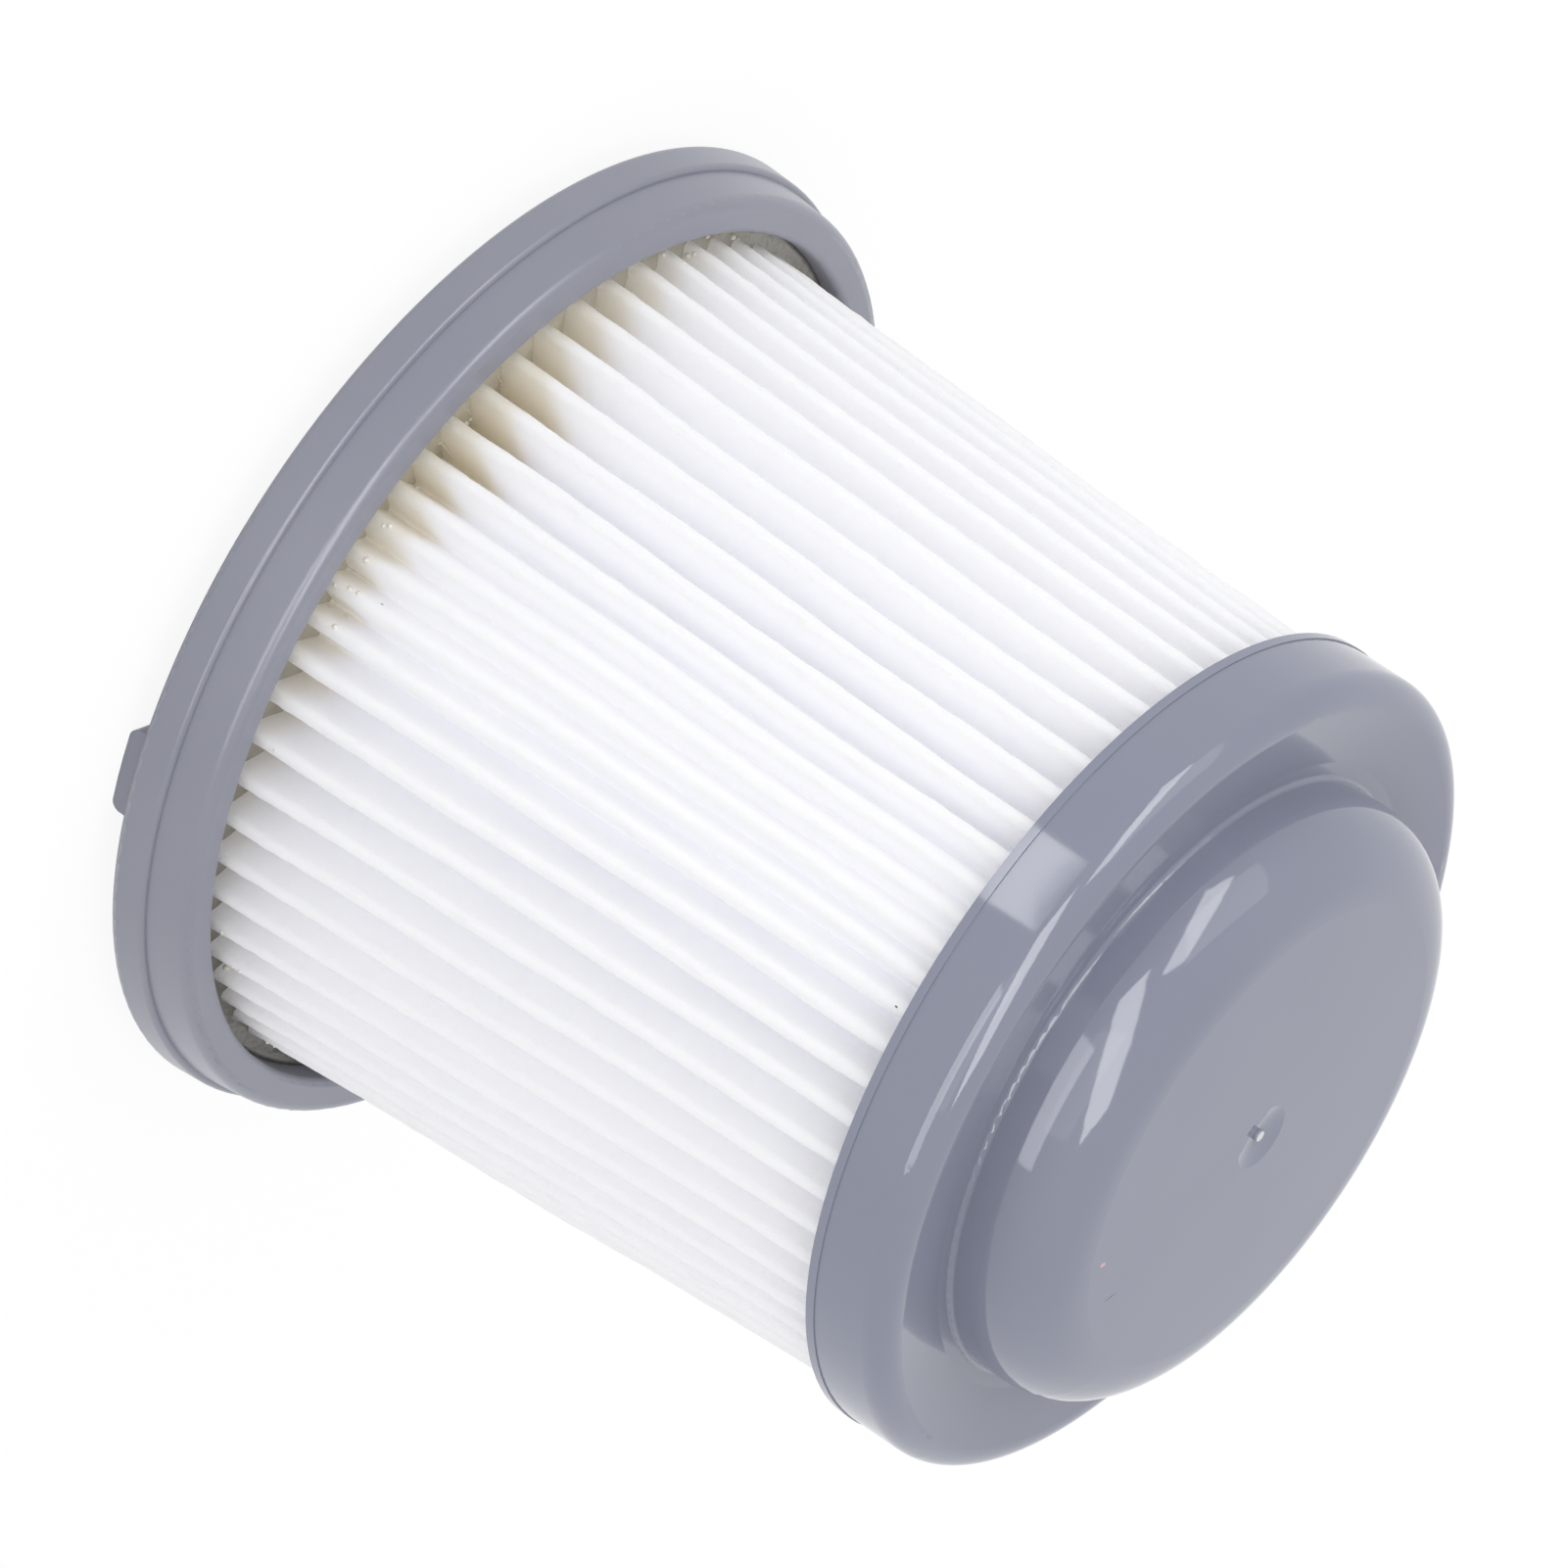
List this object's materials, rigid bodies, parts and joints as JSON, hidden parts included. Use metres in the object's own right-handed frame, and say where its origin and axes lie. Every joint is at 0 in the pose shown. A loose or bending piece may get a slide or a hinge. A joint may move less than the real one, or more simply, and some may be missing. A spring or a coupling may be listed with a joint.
{
  "type": "vacuum cleaner filter",
  "caption": "Tapered pleated cartridge filter with a flanged ring and twist lugs at its open end and a domed cap at its closed end; it cleans the air drawn through a hand-held vacuum cleaner.",
  "frame": {"origin": "on the filter's axis, in the plane of the lugs' feet that it stands on", "axes": "+Z along the filter's axis from the open end to the domed end; -Y is the side that the picture shows"},
  "size_m": [0.0998, 0.0998, 0.0959],
  "materials": {
    "moulded_plastic": "satin to glossy grey injection moulding",
    "non_woven_sheet": "white fibrous non-woven",
    "hot_melt_glue": "cloudy beige, glossy where it set"
  },
  "bodies": {
    "root": {"open_end_ring": "moulded_plastic", "domed_end_cap": "moulded_plastic", "pleated_filter_sheet": "non_woven_sheet", "open_end_glue_bed": "hot_melt_glue", "closed_end_glue_bed": "hot_melt_glue"}
  },
  "joints": []
}
